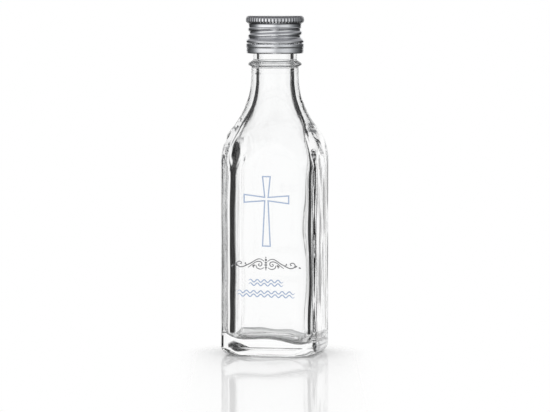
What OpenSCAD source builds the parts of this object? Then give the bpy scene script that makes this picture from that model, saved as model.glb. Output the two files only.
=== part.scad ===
// Square miniature bottle of clear glass with a rolled aluminium screw cap and a tamper band.
// The origin is the middle of the base, +Z runs up the neck and the printed face looks towards -Y.

/* [Glass body] */
// Width across two opposite flat faces
body_w = 30.7; // [28:0.1:34]
// Radius of the upright corners
corner_r = 6; // [4:0.1:7]
// Thickness of the flat glass walls
side_wall = 3.1; // [2:0.1:3.4]
// Radius of the upright corners inside
inner_corner_r = 4.3; // [4:0.1:8]
// Thickness of the bottom
base_t = 5; // [4:0.1:8]
// Radius of the heel between the faces and the base
heel_r = 2.4; // [1.5:0.1:3]
// Radius of the heel at the upright corners
corner_heel_r = 5; // [4:0.1:6]
// Radius between the walls and the bottom inside
inner_heel_r = 2.4; // [2:0.1:5]
// Width of the hollow under the base
push_up_d = 18; // [10:0.5:20]
// Depth of the hollow under the base
push_up_h = 1; // [0.5:0.1:2]

/* [Shoulder and neck] */
// Height of the glass from the base to the sealing lip
bottle_h = 105.25; // [100:0.05:115]
// Widest diameter of the round shoulder, where it dies into the corners
shoulder_d = 39; // [38:0.1:42]
// Radius of the swelling curve of the shoulder
shoulder_r = 19; // [16:0.1:19.4]
// Radius of the hollow curve between shoulder and neck
neck_curve_r = 26.1; // [20:0.1:30]
// Depth below the lip at which the hollow curve begins
neck_curve_depth = 17; // [16:0.1:20]
// Diameter of the neck below the transfer bead
neck_d = 14.9; // [14:0.1:16]
// Diameter of the bore in the neck
bore_d = 10.3; // [9:0.1:10.8]
// Depth below the lip at which the bore begins to widen
bore_curve_depth = 20.25; // [19:0.05:22]
// Radius of the hollow curve by which the bore widens
bore_curve_r = 27.3; // [25:0.1:30]
// Widest diameter of the round room under the bore
room_d = 31.2; // [30:0.1:33]
// Radius of the swelling curve of that room
room_r = 15.1; // [13:0.1:15.4]

/* [Finish] */
// Height by which the transfer bead stands out from the neck
bead_step = 1.05; // [0.8:0.05:1.3]
// Depth of the transfer bead below the lip
bead_depth = 13.7; // [13.3:0.1:14.5]
// Depth of the waist between transfer bead and locking ring, seen from the finish
waist_step = 0.55; // [0.3:0.05:0.8]
// Height by which the locking ring for the tamper band stands out from the finish
ring_step = 1.05; // [0.9:0.05:1.1]
// Depth of the locking ring below the lip
ring_depth = 8.9; // [8.4:0.1:9.2]
// Radius of the rounded edge of both beads
bead_nose_r = 0.5; // [0.3:0.05:0.6]
// Diameter of the finish between locking ring and lip
finish_d = 15; // [14.4:0.1:15.4]
// Radius of the rounded lip
lip_r = 0.8; // [0.4:0.1:1]

/* [Cap] */
// Thickness of the aluminium sheet
sheet = 0.25; // [0.2:0.01:0.3]
// Gap between the finish of the glass and the skirt
skirt_gap = 0.7; // [0.6:0.05:0.9]
// Height by which the knurled rim stands out from the skirt
rim_step = 0.75; // [0.7:0.05:0.9]
// Height of the knurled rim
rim_h = 2.5; // [2.4:0.1:3]
// Radius of the upper edge of the rim
rim_top_r = 1; // [0.8:0.05:1.2]
// Radius of the lower edge of the rim
rim_low_r = 0.7; // [0.5:0.05:0.9]
// Number of knurls round the rim
knurl_n = 52; // [40:1:60]
// Depth of a knurl
knurl_depth = 0.3; // [0.2:0.05:0.35]
// Height by which the flared bead at the lower edge stands out from the skirt
hem_step = 0.85; // [0.75:0.05:1]
// Depth of that bead below the top of the cap
hem_depth = 8.1; // [7.9:0.1:8.4]
// Radius of that bead
hem_nose_r = 0.5; // [0.4:0.05:0.6]
// Depth of the slit line below the top of the cap
slit_depth = 8.55; // [8.5:0.05:8.7]
// Width of the slit line
slit_w = 0.3; // [0.2:0.05:0.4]

/* [Tamper band] */
// Height by which the band stands out from the skirt at the slit line
band_step = 0.75; // [0.7:0.05:0.85]
// Taper of the band down to its lower edge, on the radius
band_taper = 0.25; // [0.1:0.05:0.3]
// Height of the band
band_h = 3; // [2.7:0.05:3.1]
// Reach of the tucked-in lower edge under the locking ring
tuck_reach = 0.25; // [0.15:0.05:0.4]
// Number of break bridges
bridge_n = 6; // [4:1:10]
// Width of a break bridge
bridge_w = 0.8; // [0.5:0.1:1.2]
// Gap at the torn end of a bridge
tear_gap = 0.05; // [0.03:0.01:0.08]
// Direction of the first bridge, counted from +X
bridge_turn = -83; // [-180:1:180]

/* [Liner] */
// Thickness of the sealing disc
liner_t = 1.3; // [1:0.1:1.5]
// Gap between the disc and the pocket of the cap
liner_gap = 0.15; // [0.1:0.05:0.3]

/* [Hidden] */

$fn = 96;
// Overlap that lets a cut run past the face it opens
past = 1;

// Half sizes and radii of the glass
half_w = body_w / 2;
neck_radius = neck_d / 2;
shoulder_radius = shoulder_d / 2;
finish_radius = finish_d / 2;
bead_radius = neck_radius + bead_step;
waist_radius = finish_radius - waist_step;
ring_radius = finish_radius + ring_step;
bore_radius = bore_d / 2;
room_radius = room_d / 2;

// Heights on the glass
neck_curve_z = bottle_h - neck_curve_depth;
bead_z = bottle_h - bead_depth;
ring_z = bottle_h - ring_depth;
bore_curve_z = bottle_h - bore_curve_depth;
shoulder_z = swell_height(neck_radius, neck_curve_r, neck_curve_z, shoulder_radius, shoulder_r);
// Heights over which the flanks of the beads run out into the neck
bead_rise = 1.3;
bead_fall = 0.85;
ring_rise = 1;
ring_fall = 0.9;
// The push-up is the cap of a large sphere
push_up_sphere = (pow(push_up_d / 2, 2) + pow(push_up_h, 2)) / (2 * push_up_h);

// Heights and radii on the closure
cap_top = bottle_h + liner_t + sheet;
rim_z = cap_top - rim_h;
hem_z = cap_top - hem_depth;
slit_z = cap_top - slit_depth;
flare_h = 1.5;
skirt_radius = finish_radius + skirt_gap + sheet;
cap_radius = skirt_radius + rim_step;
hem_radius = skirt_radius + hem_step;
slit_radius = skirt_radius + band_step;
pocket_radius = cap_radius - knurl_depth - sheet;
liner_radius = pocket_radius - liner_gap;
// The upper edge of the disc is as round as the corner of the pocket
liner_edge_r = rim_top_r - sheet;
band_top = slit_z - slit_w;
band_low = band_top - band_h;
band_low_radius = slit_radius - band_taper;
tuck_radius = ring_radius - tuck_reach;
// A knurl is a round flute whose chord is two thirds of the pitch
knurl_half = 2 * PI * cap_radius / knurl_n / 3;
knurl_r = (pow(knurl_half, 2) + pow(knurl_depth, 2)) / (2 * knurl_depth);
knurl_centre = cap_radius - knurl_depth + knurl_r;

// Point where a line from p touches the circle round c, on the side that turns by +1 or -1
function touch(p, c, r, side) =
    let (d = p - c)
    let (a = atan2(d[1], d[0]) + side * acos(r / norm(d)))
    c + r * [cos(a), sin(a)];

// Height of the swelling curve's centre, so that it meets the hollow curve as one tangent line
function swell_height(neck, curve_r, curve_z, widest, swell_r) =
    curve_z - sqrt(pow(curve_r + swell_r, 2) - pow(neck + curve_r - widest + swell_r, 2));

// Quarter of a plane, so that a profile stays on one side of the axis
module beside_axis() {
    intersection() {
        children();
        translate([0, -past])
            square([body_w * 2, bottle_h * 2]);
    }
}

// Ring profile with a round nose and straight flanks down to two points on the neck
module nosed_bead(tip, nose_r, upper, lower) {
    centre = tip - [nose_r, 0];
    translate(centre)
        circle(nose_r);
    polygon([
        [0, lower[1]],
        lower,
        touch(lower, centre, nose_r, 1),
        centre,
        touch(upper, centre, nose_r, -1),
        upper,
        [0, upper[1]]
    ]);
}

// Rectangle from the axis out to r with rounded outer corners
module rounded_block(r, z_low, z_high, r_low, r_high) {
    translate([0, z_low + r_low])
        square([r, z_high - z_low - r_low - r_high]);
    translate([0, z_low])
        square([r - r_low, z_high - z_low - r_high]);
    translate([0, z_low + r_low])
        square([r - r_high, z_high - z_low - r_low]);
    translate([r - r_low, z_low + r_low])
        circle(r_low);
    translate([r - r_high, z_high - r_high])
        circle(r_high);
}

// Neck, hollow curve and swelling shoulder as one tangent line
module shoulder_profile(neck, curve_r, curve_z, widest, swell_r, top) {
    hollow = [neck + curve_r, curve_z];
    swell = [widest - swell_r, swell_height(neck, curve_r, curve_z, widest, swell_r)];
    translate([0, curve_z])
        square([neck, top - curve_z]);
    difference() {
        polygon([[0, swell[1]], swell, hollow, [0, curve_z]]);
        translate(hollow)
            circle(curve_r);
    }
    translate(swell)
        circle(swell_r);
    square([widest, swell[1]]);
}

// Square with round corners
module rounded_square(half, r) {
    square([2 * half, 2 * (half - r)], center = true);
    square([2 * (half - r), 2 * half], center = true);
    for (x = [-1, 1], y = [-1, 1])
        translate([x * (half - r), y * (half - r)])
            circle(r);
}

// Upright square block with round corners and a rounded lower edge
module heeled_block(half, r, heel, low, high) {
    intersection() {
        translate([0, 0, low])
            linear_extrude(high - low)
                rounded_square(half, r);
        for_both_ways()
            linear_extrude(2 * body_w, center = true)
                heel_outline(half, heel, low, high);
    }
}

// The same upright outline seen from the front and from the side, as one common solid
module for_both_ways() {
    intersection() {
        rotate([90, 0, 0])
            children();
        rotate([90, 0, 90])
            children();
    }
}

// Upright outline with two rounded lower corners
module heel_outline(half, heel, low, high) {
    translate([-half, low + heel])
        square([2 * half, high - low - heel]);
    translate([heel - half, low])
        square([2 * (half - heel), heel]);
    for (x = [-1, 1])
        translate([x * (half - heel), low + heel])
            circle(heel);
}

// Round outside of the bottle from the base to the lip
module glass_outline() {
    beside_axis()
        union() {
            difference() {
                shoulder_profile(neck_radius, neck_curve_r, neck_curve_z, shoulder_radius, shoulder_r, bead_z);
                square([shoulder_radius + past, corner_heel_r]);
            }
            rounded_block(shoulder_radius, 0, shoulder_z, corner_heel_r, heel_r);
            nosed_bead(
                [bead_radius, bead_z], bead_nose_r,
                [waist_radius, bead_z + bead_rise], [neck_radius, bead_z - bead_fall]
            );
            translate([0, bead_z])
                square([waist_radius, ring_z - bead_z]);
            nosed_bead(
                [ring_radius, ring_z], bead_nose_r,
                [finish_radius, ring_z + ring_rise], [waist_radius, ring_z - ring_fall]
            );
            rounded_block(finish_radius, ring_z, bottle_h, lip_r, lip_r);
        }
}

// Round inside of the neck and shoulder, with a rounded mouth
module bore_outline() {
    beside_axis()
        union() {
            shoulder_profile(bore_radius, bore_curve_r, bore_curve_z, room_radius, room_r, bottle_h + past);
            difference() {
                translate([0, bottle_h - lip_r])
                    square([bore_radius + lip_r, lip_r + past]);
                translate([bore_radius + lip_r, bottle_h - lip_r])
                    circle(lip_r);
            }
        }
}

// Room inside the glass
module cavity() {
    inner_half = half_w - side_wall;
    intersection() {
        heeled_block(inner_half, inner_corner_r, inner_heel_r, base_t, bottle_h + past);
        rotate_extrude()
            bore_outline();
    }
}

// One moulded piece: flat faces cut from a round shoulder, with thick walls and a hollow base
module glass_bottle() {
    color("lightcyan", 0.4)
        difference() {
            intersection() {
                heeled_block(half_w, corner_r, heel_r, 0, bottle_h);
                rotate_extrude()
                    glass_outline();
            }
            cavity();
            translate([0, 0, push_up_h - push_up_sphere])
                sphere(push_up_sphere);
        }
}

// Outside of the cap shell, or its inside when moved in by one sheet
module shell_outline(inset) {
    beside_axis()
        union() {
            rounded_block(
                cap_radius - inset, rim_z + inset, cap_top - inset, rim_low_r - inset, rim_top_r - inset
            );
            translate([0, hem_z])
                square([skirt_radius - inset, rim_z + rim_h / 2 - hem_z]);
            nosed_bead(
                [hem_radius - inset, hem_z], hem_nose_r - inset,
                [skirt_radius - inset, hem_z + flare_h], [slit_radius - inset, slit_z]
            );
        }
}

// Room inside the sheet, open at the lower edge
module shell_room() {
    shell_outline(sheet);
    translate([0, slit_z - past])
        square([slit_radius - sheet, hem_z - slit_z + past]);
}

// Upright flutes round the rim
module flutes(r) {
    for (i = [0 : knurl_n - 1])
        rotate([0, 0, i * 360 / knurl_n])
            translate([knurl_centre, 0, rim_z - past])
                cylinder(h = rim_h + 2 * past, r = r, $fn = 24);
}

// Drawn sheet cap: fluted rim, skirt and flared bead, with the inside one sheet behind the outside
module cap_shell() {
    color("silver")
        difference() {
            rotate_extrude()
                shell_outline(0);
            difference() {
                rotate_extrude()
                    shell_room();
                flutes(knurl_r + sheet);
            }
            flutes(knurl_r);
        }
}

// Cross-section of the band: a slightly tapered wall with its lower edge tucked in and a stub on top
module band_outline() {
    stub_top = slit_z - tear_gap;
    polygon([
        [tuck_radius, band_low],
        [band_low_radius - sheet / 2, band_low],
        [band_low_radius, band_low + sheet / 2],
        [slit_radius, band_top],
        [slit_radius, stub_top],
        [slit_radius - sheet, stub_top],
        [slit_radius - sheet, band_top],
        [band_low_radius - sheet, band_low + sheet],
        [tuck_radius, band_low + sheet]
    ]);
}

// Loose ring under the slit line: the slits leave the torn stubs of the bridges standing
module tamper_band() {
    bridge_angle = bridge_w / slit_radius * 180 / PI;
    bridge_step = 360 / bridge_n;
    color("gainsboro")
        difference() {
            rotate_extrude()
                band_outline();
            for (i = [0 : bridge_n - 1])
                rotate([0, 0, bridge_turn + i * bridge_step + bridge_angle / 2])
                    rotate_extrude(angle = bridge_step - bridge_angle)
                        translate([slit_radius - 2 * sheet, band_top])
                            square([3 * sheet, slit_w]);
        }
}

// Half of the disc's cross-section, with its upper edge rounded to fit the pocket
module liner_outline() {
    edge = [liner_radius - liner_edge_r, liner_t - liner_edge_r];
    intersection() {
        square([liner_radius, liner_t]);
        union() {
            square([edge[0], liner_t]);
            square([liner_radius, edge[1]]);
            translate(edge)
                circle(liner_edge_r);
        }
    }
}

// Soft disc in the pocket of the cap
module cap_liner() {
    color("white")
        translate([0, 0, bottle_h])
            rotate_extrude()
                liner_outline();
}

glass_bottle();
cap_shell();
tamper_band();
cap_liner();
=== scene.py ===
"""Looks of a small square glass bottle with a rolled aluminium screw cap."""

import math

import bpy
import numpy as np
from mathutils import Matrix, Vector


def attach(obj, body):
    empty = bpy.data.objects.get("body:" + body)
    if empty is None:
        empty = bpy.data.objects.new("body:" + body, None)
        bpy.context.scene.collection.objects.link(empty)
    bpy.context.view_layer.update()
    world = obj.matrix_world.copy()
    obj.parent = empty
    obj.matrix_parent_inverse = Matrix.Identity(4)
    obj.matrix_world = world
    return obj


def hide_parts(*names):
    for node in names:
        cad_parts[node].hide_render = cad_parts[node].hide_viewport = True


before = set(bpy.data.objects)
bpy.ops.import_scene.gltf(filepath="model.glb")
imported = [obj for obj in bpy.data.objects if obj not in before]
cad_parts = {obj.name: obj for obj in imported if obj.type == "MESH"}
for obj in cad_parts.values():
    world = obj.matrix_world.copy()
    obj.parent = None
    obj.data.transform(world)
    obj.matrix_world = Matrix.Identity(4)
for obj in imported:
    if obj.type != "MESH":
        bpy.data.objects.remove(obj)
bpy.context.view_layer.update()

MM = 0.001
TAU = 2 * math.pi

# Sizes of the outside of the glass, in millimetres
HALF = 15.3
CORNER = 5.95
HEEL = 2.4
CORNER_HEEL = 5.0
EDGE_BLEND = 0.35
HEEL_SEAM_Z = 2.85
HEEL_SEAM_OUT = 0.045
PUSH_UP_R = 9.0
PUSH_UP_Z = 0.89
GRIP_MARKS = 44
GRIP_DEPTH = 0.16
SWELL_R = 19.0
SWELL_AXIS = 0.5
SWELL_Z = 57.56
SWELL_END = math.radians(42.88)
NECK_R = 7.45
NECK_CURVE_Z = 88.25
NECK_CURVE_R = 26.1
WAIST_R = 6.95
FINISH_R = 7.5
LIP_Z = 105.25
LIP_ROUND = 0.8

# Sizes of the inside of the glass
BORE_R = 5.15
BORE_CURVE_Z = 86.0
BORE_CURVE_R = 27.3
ROOM_R = 15.1
ROOM_Z = 58.13
ROOM_END = math.radians(41.1)
INNER_HALF = 12.2
INNER_CORNER = 4.25
INNER_HEEL = 2.4
INNER_BLEND = 0.3
FLOOR_Z = 5.0

# Sizes of the thread and the closure
PITCH = 2.1
CREST_Z = 100.4
CREST_TURN = math.radians(-169)
RIDGE_START = 100.2
RIDGE_END = 103.4
RIDGE_HEIGHT = 0.5
RIDGE_WIDTH = 0.42
ROLL_DEPTH = 0.24
KNURLS = 52
KNURL_DEPTH = 0.2
RIM_R = 7.9
GROOVE_Z = 104.35
CAP_TOP = 106.78
SHEET = 0.25
BAND_R = 9.2
BAND_EDGE = 97.85
BRIDGES = 6
BRIDGE_TURN = math.radians(-83)
STUB_HEIGHT = 0.24
LINER_TOP = 106.52


# Mesh helpers


def smooth(a, b, x):
    """0 below a, 1 above b, with a soft step between."""
    t = np.clip((x - a) / (b - a), 0, 1)
    return t * t * (3 - 2 * t)


def soft_min(a, b, k):
    """The smaller of two radii, with a round blend of width k where they meet."""
    h = np.maximum(k - np.abs(a - b), 0) / k
    return np.minimum(a, b) - h * h * k / 4


def square_radius(phi, half, r):
    """Distance from the axis to a square with round corners, in each direction."""
    c, s = np.abs(np.cos(phi)), np.abs(np.sin(phi))
    big, small = np.maximum(c, s), np.minimum(c, s)
    flat = half / big
    k = half - r
    b = k * (big + small)
    corner = b + np.sqrt(np.maximum(b * b - 2 * k * k + r * r, 0))
    return np.where(flat * small <= k, flat, corner)


def chaikin(points, times):
    """Rounds the inner corners of an open line."""
    p = np.array(points, float)
    for _ in range(times):
        a, b = p[:-1], p[1:]
        cut = np.stack([0.75 * a + 0.25 * b, 0.25 * a + 0.75 * b], 1).reshape(-1, 2)
        p = np.vstack([p[:1], cut[1:-1], p[-1:]])
    return p


def arc(cx, cz, r, start, end, n):
    """Points on a round corner of a profile, between two angles in degrees."""
    a = np.radians(np.linspace(start, end, n))
    return np.stack([cx + r * np.cos(a), cz + r * np.sin(a)], 1)


def ring(phi, r, z):
    """One ring of points round the axis."""
    return np.stack([r * np.cos(phi), r * np.sin(phi), z + 0 * phi], 1)


def skin(name, rows, flip=False, poles=None, loop=False, painted_shade=None):
    """One smooth mesh from rings of equal length, closed by a point at each end or joined end to end."""
    n = len(rows[0])
    verts = np.vstack(rows)
    i = np.arange(len(rows) if loop else len(rows) - 1)[:, None]
    j = np.arange(n)[None, :]
    up = (i + 1) % len(rows)
    quads = np.stack(
        [i * n + j, i * n + (j + 1) % n, up * n + (j + 1) % n, up * n + j], -1
    ).reshape(-1, 4)
    faces = quads.tolist()
    if poles is not None:
        verts = np.vstack([verts, poles])
        first, last = len(verts) - 2, len(verts) - 1
        base = (len(rows) - 1) * n
        for k in range(n):
            m = (k + 1) % n
            faces.append([first, m, k])
            faces.append([last, base + k, base + m])
    if flip:
        faces = [f[::-1] for f in faces]
    mesh = bpy.data.meshes.new(name)
    mesh.from_pydata((verts * MM).tolist(), [], faces)
    mesh.polygons.foreach_set("use_smooth", [True] * len(mesh.polygons))
    mesh.update()
    # Painted shade per point, read by the aluminium material to darken the metal
    if painted_shade is not None:
        mark = mesh.attributes.new("painted_shade", "FLOAT", "POINT")
        values = np.zeros(len(verts))
        values[: painted_shade.size] = painted_shade.ravel()
        mark.data.foreach_set("value", values)
    obj = bpy.data.objects.new(name, mesh)
    bpy.context.scene.collection.objects.link(obj)
    return obj


# Glass bottle


def crest_height(phi):
    """Height of one crest of the right-hand thread at an angle."""
    return CREST_Z + PITCH * (phi - CREST_TURN) / TAU


def finish_thread(phi, z):
    """Moulded ridge of one and a half turns on the glass finish."""
    crest = crest_height(phi)
    turn = (z - crest) / PITCH
    whole = np.round(turn)
    off = (turn - whole) * PITCH
    on = crest + whole * PITCH
    begins = smooth(RIDGE_START - 0.4, RIDGE_START + 0.3, on)
    ends = smooth(RIDGE_END - 0.5, RIDGE_END, on)
    return RIDGE_HEIGHT * np.exp(-((off / RIDGE_WIDTH) ** 2)) * (begins * (1 - ends))


def bead(low, tip_r, tip_z, high):
    """Ring round the neck with a round nose."""
    nose_r = 0.5
    nose = arc(tip_r - nose_r, tip_z, nose_r, -62, 58, 9)
    return chaikin([low, *nose, high], 1)


def outer_profile():
    """Round outside from the shoulder up to the lip, as radius and height."""
    a = np.linspace(0, SWELL_END, 26)
    swell = np.stack([SWELL_AXIS + SWELL_R * np.cos(a), SWELL_Z + SWELL_R * np.sin(a)], 1)
    b = np.linspace(SWELL_END, 0, 22)[1:]
    hollow = np.stack(
        [NECK_R + NECK_CURVE_R * (1 - np.cos(b)), NECK_CURVE_Z - NECK_CURVE_R * np.sin(b)], 1
    )
    seam = [[NECK_R, 88.75], [NECK_R + 0.05, 88.92], [NECK_R + 0.07, 89.0], [NECK_R + 0.05, 89.08]]
    neck = [*seam, [NECK_R, 89.25], [NECK_R, 90.2]]
    low_bead = bead([NECK_R, 90.7], 8.5, 91.55, [WAIST_R, 92.85])
    ring_bead = bead([WAIST_R, 95.45], 8.55, 96.35, [FINISH_R, 97.35])
    finish = [[FINISH_R, z] for z in np.arange(97.9, 104.3, 0.16)]
    lip = arc(FINISH_R - LIP_ROUND, LIP_Z - LIP_ROUND, LIP_ROUND, 5, 90, 7)
    mouth = arc(BORE_R + LIP_ROUND, LIP_Z - LIP_ROUND, LIP_ROUND, 90, 180, 7)
    waist = [[WAIST_R, 93.2], [WAIST_R, 95.1]]
    return np.vstack([swell, hollow, neck, low_bead, waist, ring_bead, finish, lip, mouth])


def inner_profile():
    """Round inside from the mouth down to the shoulder, where the glass is thicker."""
    bore = [[BORE_R, z] for z in np.arange(103.6, BORE_CURVE_Z + 0.2, -0.9)]
    b = np.linspace(0, ROOM_END, 24)
    hollow = np.stack(
        [BORE_R + BORE_CURVE_R * (1 - np.cos(b)), BORE_CURVE_Z - BORE_CURVE_R * np.sin(b)], 1
    )
    a = np.linspace(ROOM_END, 0, 26)[1:]
    swell = np.stack([SWELL_AXIS + ROOM_R * np.cos(a), ROOM_Z + ROOM_R * np.sin(a)], 1)
    return np.vstack([bore, hollow, swell])


def inner_wave(phi, z):
    """Slow unevenness of the blown inside."""
    body = 1 - smooth(60, 84, z)
    wave = 0.22 * smooth(4, 26, z) * np.sin(2 * phi + 3.3)
    wave = wave + 0.06 * np.sin(5 * phi + 1.1 - z / 7)
    wave = wave + 0.03 * np.sin(9 * phi + 0.4 + z / 4)
    wave = wave + 0.05 * np.sin(3 * phi + 2.1 + z / 3.1) * np.sin(z / 8.3)
    return wave * (0.12 + 0.88 * body)


def bottom_wave(x, y):
    """Uneven floor of the cavity, a little lower on the right."""
    return -0.08 * x + 0.3 * np.sin(0.33 * x + 0.9) + 0.16 * np.sin(0.45 * y + 0.3 * x)


def heel_reach(z):
    """Reach of the round heel at the upright corners."""
    low = np.maximum(CORNER_HEEL - z, 0)
    return SWELL_AXIS + SWELL_R - CORNER_HEEL + np.sqrt(CORNER_HEEL**2 - low**2)


def base_rows(phi, t):
    """Underside from the middle outwards: push-up, grip marks and round heel."""
    rows = []
    edge = soft_min(square_radius(phi, HALF - HEEL, CORNER - HEEL), heel_reach(0.0), EDGE_BLEND)
    shares = [0.12, 0.25, 0.38, 0.5, 0.6, 0.66, 0.7, 0.74, 0.77, 0.8, 0.83, 0.86, 0.89, 0.92, 0.95, 0.98]
    for f in shares:
        r = edge * f
        rise = np.maximum(1 - (r / PUSH_UP_R) ** 2, 0)
        marked = float(smooth(0.74, 0.8, f) * (1 - smooth(0.94, 0.98, f)))
        grip = GRIP_DEPTH * (0.5 + 0.5 * np.cos(GRIP_MARKS * t)) * marked
        rows.append(ring(phi, r, rise * rise / (rise + 0.12) + grip))
    for a in np.radians(np.linspace(0, 90, 10)):
        inset = HEEL * (1 - math.sin(a))
        z = HEEL * (1 - math.cos(a))
        rad = square_radius(phi, HALF - inset, CORNER - inset)
        rows.append(ring(phi, soft_min(rad, heel_reach(z), EDGE_BLEND), z))
    return rows


def outside_rows(phi):
    """Flat faces with a mould seam near the heel, then shoulder, neck, finish and lip."""
    rows = []
    outside = square_radius(phi, HALF, CORNER)
    near_heel = [2.6, 2.75, 2.85, 2.95, 3.05, 3.2, 3.5, 4.0, 4.5, 5.0]
    for z in [*near_heel, *np.linspace(6.5, SWELL_Z - 1.5, 24)]:
        seam = HEEL_SEAM_OUT * math.exp(-(((z - HEEL_SEAM_Z) / 0.12) ** 2))
        rows.append(ring(phi, soft_min(outside + seam, heel_reach(z), EDGE_BLEND), z))
    for r, z in outer_profile():
        rad = soft_min(outside, r + 0 * phi, EDGE_BLEND + 2.0 * float(smooth(58, 70, z)))
        if 99 < z < 104.3 and r > FINISH_R - 0.01:
            rad = rad + finish_thread(phi, z)
        rows.append(ring(phi, rad, z))
    return rows


def inside_rows(phi):
    """Bore, inner shoulder, walls and floor of the cavity, from the mouth down."""
    rows = []
    inside = square_radius(phi, INNER_HALF, INNER_CORNER)
    for r, z in inner_profile():
        rad = soft_min(inside, r + 0 * phi, INNER_BLEND + 4.2 * float(smooth(56, 68, z)))
        rows.append(ring(phi, rad + inner_wave(phi, z), z))
    top = FLOOR_Z + INNER_HEEL
    wall = soft_min(inside, SWELL_AXIS + ROOM_R + 0 * phi, INNER_BLEND)
    for z in np.linspace(ROOM_Z - 1.2, top + 0.6, 38):
        rows.append(ring(phi, wall + inner_wave(phi, z), z))
    for a in np.radians(np.linspace(0, 90, 12)):
        inset = INNER_HEEL * (1 - math.cos(a))
        z = top - INNER_HEEL * math.sin(a)
        rad = square_radius(phi, INNER_HALF - inset, INNER_CORNER - inset) + inner_wave(phi, z)
        lift = bottom_wave(rad * np.cos(phi), rad * np.sin(phi)) * math.sin(a)
        rows.append(ring(phi, rad, z + lift))
    low = square_radius(phi, INNER_HALF - INNER_HEEL, INNER_CORNER - INNER_HEEL)
    low = low + inner_wave(phi, FLOOR_Z)
    for f in [0.9, 0.78, 0.66, 0.54, 0.42, 0.3, 0.18, 0.08]:
        rad = low * f
        lift = bottom_wave(rad * np.cos(phi), rad * np.sin(phi))
        rows.append(ring(phi, rad, FLOOR_Z + lift))
    return rows


def glass_rows():
    """All rings of the glass, with points closer at the corners, and the middles of base and floor."""
    t = np.linspace(0, TAU, 264, endpoint=False)
    phi = t + 0.45 * np.sin(4 * t) / 4
    rows = [*base_rows(phi, t), *outside_rows(phi), *inside_rows(phi)]
    ends = np.array([[0, 0, PUSH_UP_Z], [0, 0, FLOOR_Z + float(bottom_wave(0.0, 0.0))]])
    return rows, ends


# Closure


def knurl(phi, z):
    """Depth of the flutes on the rolled rim."""
    wave = (0.5 - 0.5 * np.cos(KNURLS * phi)) ** 4
    return KNURL_DEPTH * wave * smooth(104.5, 104.8, z) * (1 - smooth(106.0, 106.35, z))


def rolled_thread(phi, z):
    """Rolled thread of the skirt, crests where the glass ridge runs."""
    wave = np.cos(TAU * (z - crest_height(phi)) / PITCH)
    wave = wave * (1.5 - 0.5 * wave * wave)
    return ROLL_DEPTH * wave * smooth(99.4, 100.0, z) * (1 - smooth(102.9, 103.3, z))


def cap_painted_shade(phi, z):
    """Painted shade on the rolled sheet: top edge, flutes, the groove under the rim, thread flanks."""
    # Painted shade in the flutes between the knurls
    flute = (0.5 - 0.5 * np.cos(KNURLS * phi)) ** 1.7
    flute = flute * smooth(104.6, 104.9, z) * (1 - smooth(106.0, 106.3, z))
    # Painted shade along one flank of each thread turn
    turn = (z - crest_height(phi)) / PITCH + 0.25
    flank = np.exp(-(((turn - np.round(turn)) / 0.1) ** 2))
    flank = flank * smooth(99.2, 100.0, z) * (1 - smooth(102.8, 103.3, z))
    # Painted shade in the groove under the rim and on the rounded top edge
    groove = np.exp(-(((z - GROOVE_Z) / 0.22) ** 2))
    edge = 0.85 * smooth(106.2, 106.4, z)
    return np.clip(flute + 0.7 * flank + groove + edge, 0, 1)


def cap_profile():
    """Outer line of the cap from the middle of its top to the hem, as radius and height."""
    line = [[r, CAP_TOP] for r in (1.5, 3.5, 5.5, 7.0, 7.9)]
    line += arc(8.2, 105.8, 0.98, 82, 4, 10).tolist()
    line += [[9.2, z] for z in (105.72, 105.55, 105.38)]
    line += arc(8.4, 105.2, 0.8, -4, -78, 8).tolist()
    line += [[8.48, 104.35], [8.44, 104.22], [8.43, 104.05], [8.43, 103.8], [8.42, 103.55], [8.39, 103.35]]
    line += [[8.4, z] for z in np.arange(103.2, 100.1, -0.09)]
    line += [[8.4, 100.05], [8.42, 99.9], [8.47, 99.76], [8.57, 99.62], [8.72, 99.48], [8.89, 99.34]]
    line += [[9.05, 99.2], [9.16, 99.06], [9.23, 98.9], [9.26, 98.73], [9.27, 98.57], [9.25, 98.43]]
    line += [[9.2, 98.33], [9.12, 98.28], [9.05, 98.27]]
    return np.array(line)


def cap_rows():
    """Outside and inside of the drawn sheet, with painted shade on the outside."""
    phi = np.linspace(0, TAU, KNURLS * 10, endpoint=False)
    line = cap_profile()
    step = np.gradient(line, axis=0)
    side = np.stack([step[:, 1], -step[:, 0]], 1)
    side /= np.linalg.norm(side, axis=1)[:, None]
    # Painted shade for the outside rows only
    painted_shade = np.array([cap_painted_shade(phi, z) * (r > RIM_R) for r, z in line])
    rows = []
    for r, z in line:
        rows.append(ring(phi, r - knurl(phi, z) * (r > RIM_R) + rolled_thread(phi, z), z))
    for (r, z), d in zip(line[::-1], side[::-1]):
        rad = r + SHEET * d[0] - knurl(phi, z) * (r > RIM_R) + rolled_thread(phi, z)
        rows.append(ring(phi, rad, z + SHEET * d[1]))
    return rows, np.array([[0, 0, CAP_TOP], [0, 0, CAP_TOP - SHEET]]), painted_shade


def stub(phi):
    """Torn stubs of the break bridges on the band's upper edge."""
    step = TAU / BRIDGES
    off = (phi - BRIDGE_TURN + step / 2) % step - step / 2
    return 1 - smooth(0.34 / BAND_R, 0.46 / BAND_R, np.abs(off))


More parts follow.
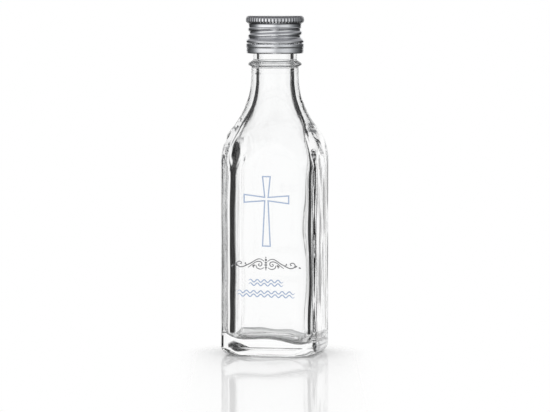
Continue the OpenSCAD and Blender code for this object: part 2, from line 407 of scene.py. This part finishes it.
def band_rows():
    """Closed section of the tamper band, down its outside and up its inside, with painted shade."""
    phi = np.linspace(0, TAU, 540, endpoint=False)
    outer = [
        [9.02, 97.95], [9.12, 97.95], [9.18, 97.89], [9.2, 97.75], [9.2, 97.4], [9.19, 97.15],
        [9.14, 96.95], [9.07, 96.8], [9.04, 96.6], [9.05, 96.3], [9.06, 95.95], [9.05, 95.65],
        [9.03, 95.35], [8.99, 95.15], [8.9, 95.0], [8.76, 94.95], [8.5, 94.95], [8.32, 94.97],
    ]
    inner = [
        [8.32, 95.17], [8.5, 95.19], [8.68, 95.22], [8.77, 95.4], [8.8, 95.65], [8.81, 95.95],
        [8.8, 96.3], [8.79, 96.6], [8.82, 96.8], [8.89, 97.0], [8.94, 97.2], [8.95, 97.6], [8.96, 97.89],
    ]
    rows = []
    painted_shade = []
    for r, z in outer + inner:
        lift = STUB_HEIGHT * stub(phi) * (z > BAND_EDGE)
        rows.append(ring(phi, r + 0 * phi, z + lift))
        # Painted shade: a dim line along the crease and a dark line along the tucked lower edge
        crease = 0.3 * math.exp(-(((z - 96.8) / 0.2) ** 2))
        tuck = 0.6 * float(1 - smooth(94.98, 95.2, z))
        painted_shade.append(crease + tuck + 0 * phi)
    return rows, np.array(painted_shade)


def liner_rows():
    """Soft disc with a shallow groove where the lip presses."""
    phi = np.linspace(0, TAU, 160, endpoint=False)
    line = [[r, LIP_Z] for r in (1, 3, 4.2)]
    line += [[4.7, 105.27], [5.2, 105.3], [6.2, 105.31], [7.2, 105.3], [7.7, 105.27], [8.2, 105.26]]
    line += arc(8.2, 105.55, 0.28, -80, 0, 5).tolist()
    line += arc(7.75, 105.8, 0.73, 0, 85, 6).tolist()
    line += [[r, LINER_TOP] for r in (6, 3, 1)]
    ends = np.array([[0, 0, LIP_Z], [0, 0, LINER_TOP]])
    return [ring(phi, r + 0 * phi, z) for r, z in line], ends


# Print on the front face

INK_OUT = 0.045
INK_BACK = 0.03
TILT = -0.021
MITRE = 0.35


def face_y(x):
    """Front surface of the glass, with the start of the round corners."""
    over = np.maximum(np.abs(x) - (HALF - CORNER), 0)
    return -(HALF - CORNER + np.sqrt(np.maximum(CORNER**2 - over**2, 0)))


def ink(name, lines):
    """Thin printed strokes: each line is points, widths and a flag that closes it."""
    verts, faces = [], []
    for points, width, closed in lines:
        p = np.array(points, float)
        w = np.broadcast_to(np.asarray(width, float), (len(p),)) / 2
        before = np.roll(p, 1, 0) if closed else np.vstack([2 * p[:1] - p[1:2], p[:-1]])
        after = np.roll(p, -1, 0) if closed else np.vstack([p[1:], 2 * p[-1:] - p[-2:-1]])
        a, b = p - before, after - p
        a /= np.linalg.norm(a, axis=1)[:, None]
        b /= np.linalg.norm(b, axis=1)[:, None]
        na = np.stack([-a[:, 1], a[:, 0]], 1)
        nb = np.stack([-b[:, 1], b[:, 0]], 1)
        m = na + nb
        m /= np.linalg.norm(m, axis=1)[:, None]
        reach = w / np.maximum((m * na).sum(1), MITRE)
        start = len(verts)
        for q, d, h in zip(p, m, reach):
            for side in (1, -1):
                x, z = q + side * h * d
                z = z + TILT * x
                y = float(face_y(x))
                verts.append((x, y - INK_OUT, z))
                verts.append((x, y + INK_BACK, z))
        n = len(p)
        for k in range(n if closed else n - 1):
            c, e = start + 4 * k, start + 4 * ((k + 1) % n)
            faces += [[c, c + 2, e + 2, e], [c + 1, e + 1, e + 3, c + 3]]
            faces += [[c, e, e + 1, c + 1], [c + 2, c + 3, e + 3, e + 2]]
        if not closed:
            e = start + 4 * (n - 1)
            faces += [[start, start + 1, start + 3, start + 2], [e, e + 2, e + 3, e + 1]]
    mesh = bpy.data.meshes.new(name)
    mesh.from_pydata((np.array(verts) * MM).tolist(), [], faces)
    mesh.update()
    obj = bpy.data.objects.new(name, mesh)
    bpy.context.scene.collection.objects.link(obj)
    return obj


def curve(points, n):
    """Smooth line through points (Catmull-Rom)."""
    p = np.array(points, float)
    p = np.vstack([2 * p[0] - p[1], p, 2 * p[-1] - p[-2]])
    out = []
    for k in range(1, len(p) - 2):
        for t in np.linspace(0, 1, n, endpoint=False):
            a, b, c, d = p[k - 1 : k + 3]
            square = 2 * a - 5 * b + 4 * c - d
            cube = 3 * b - a - 3 * c + d
            out.append(0.5 * (2 * b + (c - a) * t + square * t**2 + cube * t**3))
    out.append(p[-2])
    return np.array(out)


def cross_lines():
    """Outline of a cross with flared arms."""
    cx, cz = 0.37, 49.84
    top, low, arm = 7.02, 14.75, 7.1
    wide, thin = 1.22, 0.54
    shape = [
        [-wide, top], [wide, top], [thin, thin], [arm, wide], [arm, -wide], [thin, -thin],
        [wide, -low], [-wide, -low], [-thin, -thin], [-arm, -wide], [-arm, wide], [-thin, thin],
    ]
    return [([[cx + x, cz + z] for x, z in shape], 0.4, True)]


def scroll_lines():
    """Divider of mirrored scrolls with a beaded stem in the middle."""
    cx, cz = 0.2, 29.55
    main = [
        [-0.5, 0.72], [-1.32, 1.28], [-2.06, 1.46], [-2.79, 1.32], [-3.52, 0.9], [-4.26, 0.42],
        [-4.99, -0.03], [-5.87, -0.45], [-6.75, -0.9], [-7.64, -1.21], [-8.52, -1.15], [-9.18, -0.7],
        [-9.32, -0.12], [-8.96, 0.35], [-8.3, 0.48], [-7.81, 0.17], [-7.93, -0.26], [-8.34, -0.22],
    ]
    spiral = [
        [-5.73, -1.35], [-4.99, -0.82], [-4.26, -0.28], [-3.52, 0.26], [-2.79, 0.6], [-2.06, 0.65],
        [-1.47, 0.4], [-1.25, -0.1], [-1.47, -0.61], [-1.98, -0.8], [-2.38, -0.48], [-2.2, -0.09],
        [-1.88, -0.23],
    ]
    low = [[-3.2, -0.5], [-3.11, -0.86], [-2.86, -1.36], [-2.2, -1.68], [-1.47, -1.69], [-0.6, -1.2]]
    leaf_a = [[-6.4, 0.2], [-6.62, -0.1], [-6.2, -0.42]]
    leaf_b = [[-3.96, -1.38], [-3.85, -0.8], [-3.4, -0.5]]
    leaf_c = [[-4.35, -1.0], [-4.0, -0.62], [-3.6, -0.4]]
    tail = [[-9.15, -0.95], [-9.55, -0.6], [-9.95, -0.45]]
    tip = [[-10.5, -0.75], [-10.75, -1.0], [-11.1, -1.05]]
    stem = (
        (2.0, 0.42, 0.42), (1.2, 0.9, 0.66), (0.32, 0.62, 0.8),
        (-0.4, 0.62, 0.95), (-1.2, 0.85, 0.62), (-1.9, 0.36, 0.4),
    )
    lines = []
    for s in (1, -1):
        for pts, wide, n in (
            (main, 0.3, 5), (spiral, 0.28, 5), (low, 0.27, 5), (leaf_a, 0.3, 4), (leaf_b, 0.3, 4),
            (leaf_c, 0.28, 4), (tail, 0.42, 4), (tip, 0.4, 4),
        ):
            p = curve([[s * x, z] for x, z in pts], n) + [cx, cz]
            t = np.linspace(0, 1, len(p))
            taper = 0.55 + 0.6 * np.sin(math.pi * (0.12 + 0.76 * t))
            lines.append((p, wide * taper, False))
    for z, h, w in stem:
        t = np.linspace(-0.96, 0.96, 9)
        p = np.stack([cx + 0 * t, cz + z + t * h / 2], 1)
        lines.append((p, w * np.sqrt(1 - t**2), False))
    return lines


def wave_lines():
    """Two rows of plain double waves."""
    width, height, apart = 0.36, 0.42, 0.55
    lines = []
    for cx, cz, count, pitch in ((0.2, 23.55, 5, 2.2), (0.25, 20.05, 8, 2.28)):
        for dz in (apart, -apart):
            t = np.linspace(0, 1, count * 14 + 1)
            x = (t - 0.5) * count * pitch
            z = height * np.sin(TAU * count * t) + dz
            taper = np.minimum(1, 8 * np.minimum(t, 1 - t) + 0.35)
            lines.append((np.stack([cx + x, cz + z], 1), width * taper, False))
    return lines


# Materials


def material(name):
    """New material with its nodes and its main shader."""
    m = bpy.data.materials.new(name)
    m.use_nodes = True
    tree = m.node_tree
    return m, tree, tree.nodes["Principled BSDF"]


def noise(tree, scale, detail, stretch=(1, 1, 1)):
    """Even noise in the piece's own coordinates."""
    coord = tree.nodes.new("ShaderNodeTexCoord")
    place = tree.nodes.new("ShaderNodeMapping")
    place.inputs["Scale"].default_value = stretch
    tex = tree.nodes.new("ShaderNodeTexNoise")
    tex.inputs["Scale"].default_value = scale
    tex.inputs["Detail"].default_value = detail
    tree.links.new(coord.outputs["Object"], place.inputs["Vector"])
    tree.links.new(place.outputs["Vector"], tex.inputs["Vector"])
    return tex.outputs["Fac"]


def ramp(tree, source, low, high):
    """The middle of a noise spread between two values."""
    r = tree.nodes.new("ShaderNodeMapRange")
    r.inputs["From Min"].default_value = 0.3
    r.inputs["From Max"].default_value = 0.7
    r.inputs["To Min"].default_value = low
    r.inputs["To Max"].default_value = high
    tree.links.new(source, r.inputs["Value"])
    return r.outputs["Result"]


def tint(tree, source, first, second):
    """Colour that goes from the first to the second as the source rises."""
    mix = tree.nodes.new("ShaderNodeMix")
    mix.data_type = "RGBA"
    mix.inputs["A"].default_value = (*first, 1)
    mix.inputs["B"].default_value = (*second, 1)
    tree.links.new(source, mix.inputs["Factor"])
    return mix.outputs["Result"]


def bump(tree, bsdf, source, strength, distance):
    """Fine relief, with its depth in metres."""
    b = tree.nodes.new("ShaderNodeBump")
    b.inputs["Strength"].default_value = strength
    b.inputs["Distance"].default_value = distance
    tree.links.new(source, b.inputs["Height"])
    tree.links.new(b.outputs["Normal"], bsdf.inputs["Normal"])


def glass_material():
    """Clear glass with faint upright ripples."""
    m, tree, p = material("clear_flint_glass")
    p.inputs["Base Color"].default_value = (0.998, 1.0, 1.0, 1)
    p.inputs["Transmission Weight"].default_value = 1.0
    p.inputs["IOR"].default_value = 1.52
    speck = noise(tree, 900, detail=2.0)
    tree.links.new(ramp(tree, speck, 0.0, 0.006), p.inputs["Roughness"])
    ripple = noise(tree, 620, detail=2.0, stretch=(1, 1, 0.035))
    bump(tree, p, ripple, strength=0.2, distance=0.0001)
    return m


def aluminium(name, smoothest, roughest):
    """Bright drawn sheet, with painted shade from a point attribute that darkens it."""
    m, tree, p = material(name)
    p.inputs["Metallic"].default_value = 1.0
    drawn = noise(tree, 260, detail=5.0, stretch=(1, 1, 14))
    cloud = noise(tree, 320, detail=3.0)
    mark = tree.nodes.new("ShaderNodeAttribute")
    mark.attribute_name = "painted_shade"
    # Painted shade: the attribute darkens the base colour towards (0.1, 0.1, 0.11)
    shade = tint(tree, mark.outputs["Fac"], (1, 1, 1), (0.1, 0.1, 0.11))
    mix = tree.nodes.new("ShaderNodeMix")
    mix.data_type = "RGBA"
    mix.blend_type = "MULTIPLY"
    mix.inputs["Factor"].default_value = 1.0
    tree.links.new(tint(tree, cloud, (0.9, 0.91, 0.94), (0.97, 0.98, 1.0)), mix.inputs["A"])
    tree.links.new(shade, mix.inputs["B"])
    tree.links.new(mix.outputs["Result"], p.inputs["Base Color"])
    tree.links.new(ramp(tree, drawn, smoothest, roughest), p.inputs["Roughness"])
    bump(tree, p, drawn, strength=0.25, distance=0.00003)
    return m


def foam():
    """Matt foam with fine cells."""
    m, tree, p = material("liner_foam")
    cell = noise(tree, 2600, detail=3.0)
    tree.links.new(tint(tree, cell, (0.8, 0.8, 0.77), (0.93, 0.93, 0.91)), p.inputs["Base Color"])
    p.inputs["Roughness"].default_value = 0.75
    bump(tree, p, cell, strength=0.4, distance=0.00005)
    return m


def ink_material(name, dark, light):
    """Matt ink with a fine grain."""
    m, tree, p = material(name)
    grain = noise(tree, 1800, detail=3.0)
    tree.links.new(tint(tree, ramp(tree, grain, 0.0, 1.0), dark, light), p.inputs["Base Color"])
    p.inputs["Roughness"].default_value = 0.55
    p.inputs["Specular IOR Level"].default_value = 0.25
    bump(tree, p, grain, strength=0.2, distance=0.00002)
    return m


# Pieces

rows, ends = glass_rows()
glass = skin("bottle_glass", rows, poles=ends)
glass.data.materials.append(glass_material())
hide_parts("glass_bottle")
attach(glass, "bottle")

rows, ends, painted_shade = cap_rows()
shell = skin("cap_rolled_shell", rows, flip=True, poles=ends, painted_shade=painted_shade)
shell.data.materials.append(aluminium("rolled_aluminium", 0.13, 0.21))
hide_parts("cap_shell")
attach(shell, "cap")

rows, painted_shade = band_rows()
band = skin("tamper_ring", rows, flip=True, loop=True, painted_shade=painted_shade)
band.data.materials.append(aluminium("band_aluminium", 0.22, 0.32))
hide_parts("tamper_band")
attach(band, "band")

rows, ends = liner_rows()
liner = skin("liner_disc", rows, poles=ends)
liner.data.materials.append(foam())
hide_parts("cap_liner")
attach(liner, "liner")

blue = ink_material("pale_blue_ink", (0.36, 0.45, 0.62), (0.44, 0.53, 0.7))
grey = ink_material("grey_ink", (0.19, 0.19, 0.2), (0.27, 0.27, 0.28))
for name, lines, mat in (
    ("print_cross", cross_lines(), blue),
    ("print_scroll", scroll_lines(), grey),
    ("print_waves", wave_lines(), blue),
):
    mark = ink(name, lines)
    mark.data.materials.append(mat)
    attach(mark, "bottle")


# Stage, light and camera

AZIMUTH = math.radians(11.5)
ELEVATION = math.radians(4.03)
DISTANCE = 1.203
AIM_Z = 0.0466
SENSOR_MM = 36
PHOTO_WIDTH = 550
PIXELS_PER_MM = 3.16
TOWARD = (math.sin(AZIMUTH), -math.cos(AZIMUTH), 0)
FLOOR_R = 0.1
FLOOR_AHEAD = 0.16
FADE_START = 0.016
FADE_END = 0.032
WHITE = (1, 1, 1, 1)
OVERHEAD = (0.03, 0.032, 0.035, 1)
CEILING = (0.3, 0.3, 0.31, 1)
GROUND = (0.06, 0.06, 0.06, 1)

# Tones seen through the glass, as degrees to the right of straight behind the bottle and a grey
LEFT = [(-180, 0.8), (-110, 0.9), (-86, 0.85), (-80, 0.0), (-41, 0.0)]
RIGHT = [(31, 1.0), (34, 0.0), (80, 0.0), (86, 0.85), (110, 0.9), (180, 0.8)]
LEVEL = [*LEFT, (-38, 1.0), *RIGHT]
ABOVE = [*LEFT, (-26, 0.2), (-22, 1.0), *RIGHT]
UPPER = [
    (-180, 0.8), (-110, 0.9), (-80, 0.85), (-72, 0.02), (-52, 0.0), (-46, 1.0),
    (46, 1.0), (52, 0.0), (72, 0.02), (80, 0.85), (110, 0.9), (180, 0.8),
]
BARS = [
    stop
    for mid in (-150, -104, -62, 62, 104, 150)
    for stop in ((mid - 9, 1.0), (mid - 5, 0.25), (mid + 5, 0.25), (mid + 9, 1.0))
]
LOWER = [(-180, 1.0), *BARS, (180, 1.0)]
UNDER = [(-180, 1.0), (-100, 1.0), (-92, 0.2), (92, 0.2), (100, 1.0), (180, 1.0)]

# Tones mirrored in the cap, the glass and the floor
MIRRORED = [
    (-180, 0.75), (-172, 0.92), (-163, 1.0), (-125, 1.0), (-112, 0.92), (-100, 0.5), (-89, 0.24),
    (-76, 0.11), (-60, 0.07), (-33, 0.03), (-27, 1.0), (27, 1.0), (33, 0.03), (60, 0.05), (74, 0.1),
    (88, 0.17), (106, 0.36), (116, 0.58), (125, 0.72), (150, 0.72), (160, 0.62), (168, 0.52),
    (175, 0.55), (180, 0.75),
]


def table_material():
    """White table with a weak sheen, which fades out beside the line from the bottle to the camera."""
    m = bpy.data.materials.new("white_table")
    m.use_nodes = True
    tree = m.node_tree
    tree.nodes.clear()
    matt = tree.nodes.new("ShaderNodeBsdfDiffuse")
    matt.inputs["Color"].default_value = (0.985, 0.985, 0.985, 1)
    sheen = tree.nodes.new("ShaderNodeBsdfGlossy")
    sheen.inputs["Color"].default_value = WHITE
    sheen.inputs["Roughness"].default_value = 0.06
    gloss = tree.nodes.new("ShaderNodeFresnel")
    gloss.inputs["IOR"].default_value = 1.085
    both = tree.nodes.new("ShaderNodeMixShader")
    place = tree.nodes.new("ShaderNodeTexCoord")
    ahead = tree.nodes.new("ShaderNodeVectorMath")
    ahead.operation = "DOT_PRODUCT"
    ahead.inputs[1].default_value = TOWARD
    held = tree.nodes.new("ShaderNodeClamp")
    held.inputs["Max"].default_value = FLOOR_AHEAD
    nearest = tree.nodes.new("ShaderNodeVectorMath")
    nearest.operation = "SCALE"
    nearest.inputs[0].default_value = TOWARD
    apart = tree.nodes.new("ShaderNodeVectorMath")
    apart.operation = "DISTANCE"
    edge = tree.nodes.new("ShaderNodeMapRange")
    edge.interpolation_type = "SMOOTHSTEP"
    edge.inputs["From Min"].default_value = FADE_START
    edge.inputs["From Max"].default_value = FADE_END
    clear = tree.nodes.new("ShaderNodeBsdfTransparent")
    whole = tree.nodes.new("ShaderNodeMixShader")
    out = tree.nodes.new("ShaderNodeOutputMaterial")
    for a, b in (
        (gloss.outputs["Fac"], both.inputs["Fac"]),
        (matt.outputs["BSDF"], both.inputs[1]),
        (sheen.outputs["BSDF"], both.inputs[2]),
        (place.outputs["Object"], ahead.inputs[0]),
        (ahead.outputs["Value"], held.inputs["Value"]),
        (held.outputs["Result"], nearest.inputs["Scale"]),
        (place.outputs["Object"], apart.inputs[0]),
        (nearest.outputs["Vector"], apart.inputs[1]),
        (apart.outputs["Value"], edge.inputs["Value"]),
        (edge.outputs["Result"], whole.inputs["Fac"]),
        (both.outputs["Shader"], whole.inputs[1]),
        (clear.outputs["BSDF"], whole.inputs[2]),
        (whole.outputs["Shader"], out.inputs["Surface"]),
    ):
        tree.links.new(a, b)
    return m


rim = []
for a in np.linspace(0, TAU, 96, endpoint=False):
    ahead = FLOOR_AHEAD if math.cos(a + math.pi / 2 - AZIMUTH) > 0 else 0.0
    x = TOWARD[0] * ahead + FLOOR_R * math.cos(a)
    y = TOWARD[1] * ahead + FLOOR_R * math.sin(a)
    rim.append((x, y, 0))
floor_mesh = bpy.data.meshes.new("floor")
floor_mesh.from_pydata(rim, [], [list(range(len(rim)))])
floor_mesh.materials.append(table_material())
floor = bpy.data.objects.new("floor", floor_mesh)
bpy.context.scene.collection.objects.link(floor)

world = bpy.data.worlds.new("studio")
bpy.context.scene.world = world
world.use_nodes = True
world.cycles.sampling_method = "NONE"
sky = world.node_tree
back = sky.nodes["Background"]
coord = sky.nodes.new("ShaderNodeTexCoord")
split = sky.nodes.new("ShaderNodeSeparateXYZ")
sky.links.new(coord.outputs["Generated"], split.inputs["Vector"])


def math_node(kind, a, b=None):
    """One step of arithmetic on numbers or sockets."""
    n = sky.nodes.new("ShaderNodeMath")
    n.operation = kind
    for socket, v in zip(n.inputs, (a, b)):
        if v is None:
            continue
        if isinstance(v, (int, float)):
            socket.default_value = v
        else:
            sky.links.new(v, socket)
    return n.outputs[0]


def cool(v):
    """White, or a grey that is slightly blue."""
    return (v * (0.93 + 0.07 * v), v * (0.97 + 0.03 * v), v, 1)


def strips(stops):
    """Upright strips of tone round the bottle."""
    node = sky.nodes.new("ShaderNodeValToRGB")
    marks = node.color_ramp.elements
    marks[0].color = cool(stops[0][1])
    marks[-1].color = cool(stops[-1][1])
    for deg, v in stops[1:-1]:
        marks.new(deg / 360 + 0.5).color = cool(v)
    sky.links.new(turn, node.inputs["Fac"])
    return node.outputs["Color"]


def blend(factor, a, b):
    """From tone a to tone b as the factor rises."""
    node = sky.nodes.new("ShaderNodeMix")
    node.data_type = "RGBA"
    sky.links.new(factor, node.inputs["Factor"])
    for socket, v in ((node.inputs["A"], a), (node.inputs["B"], b)):
        if isinstance(v, tuple):
            socket.default_value = v
        else:
            sky.links.new(v, socket)
    return node.outputs["Result"]


def climb(start, end):
    """0 to 1 between two heights of the direction of a ray."""
    node = sky.nodes.new("ShaderNodeMapRange")
    node.inputs["From Min"].default_value = start
    node.inputs["From Max"].default_value = end
    sky.links.new(split.outputs["Z"], node.inputs["Value"])
    return node.outputs["Result"]


turn = math_node("ARCTAN2", split.outputs["X"], split.outputs["Y"])
turn = math_node("DIVIDE", math_node("ADD", turn, AZIMUTH), TAU)
turn = math_node("FRACT", math_node("ADD", turn, 0.5))
through = blend(climb(0.01, 0.05), strips(LEVEL), strips(ABOVE))
through = blend(climb(0.2, 0.27), through, strips(UPPER))
through = blend(climb(-0.27, -0.2), strips(LOWER), through)
through = blend(climb(-0.42, -0.34), strips(UNDER), through)
through = blend(climb(-0.72, -0.64), WHITE, through)
through = blend(climb(0.85, 0.95), through, OVERHEAD)
mirrored = blend(climb(0.2, 0.4), strips(MIRRORED), CEILING)
mirrored = blend(climb(-0.2, -0.45), mirrored, GROUND)
path = sky.nodes.new("ShaderNodeLightPath")
plain = math_node("MAXIMUM", path.outputs["Is Camera Ray"], path.outputs["Is Diffuse Ray"])
seen = blend(path.outputs["Is Transmission Ray"], mirrored, through)
sky.links.new(blend(plain, seen, WHITE), back.inputs["Color"])

cam = bpy.data.cameras.new("camera")
cam.sensor_width = SENSOR_MM
cam.lens = PIXELS_PER_MM * DISTANCE / MM * SENSOR_MM / PHOTO_WIDTH
cam.clip_start = 0.05
cam.clip_end = 20
cam_obj = bpy.data.objects.new("camera", cam)
bpy.context.scene.collection.objects.link(cam_obj)
level = math.cos(ELEVATION)
away = Vector((TOWARD[0] * level, TOWARD[1] * level, math.sin(ELEVATION)))
cam_obj.location = Vector((0, 0, AIM_Z)) + away * DISTANCE
cam_obj.rotation_mode = "QUATERNION"
cam_obj.rotation_quaternion = (-away).to_track_quat("-Z", "Y")
bpy.context.scene.camera = cam_obj
bpy.context.scene.view_settings.view_transform = "Standard"
bpy.context.scene.cycles.max_bounces = 24
bpy.context.scene.cycles.glossy_bounces = 12
bpy.context.scene.cycles.transmission_bounces = 16
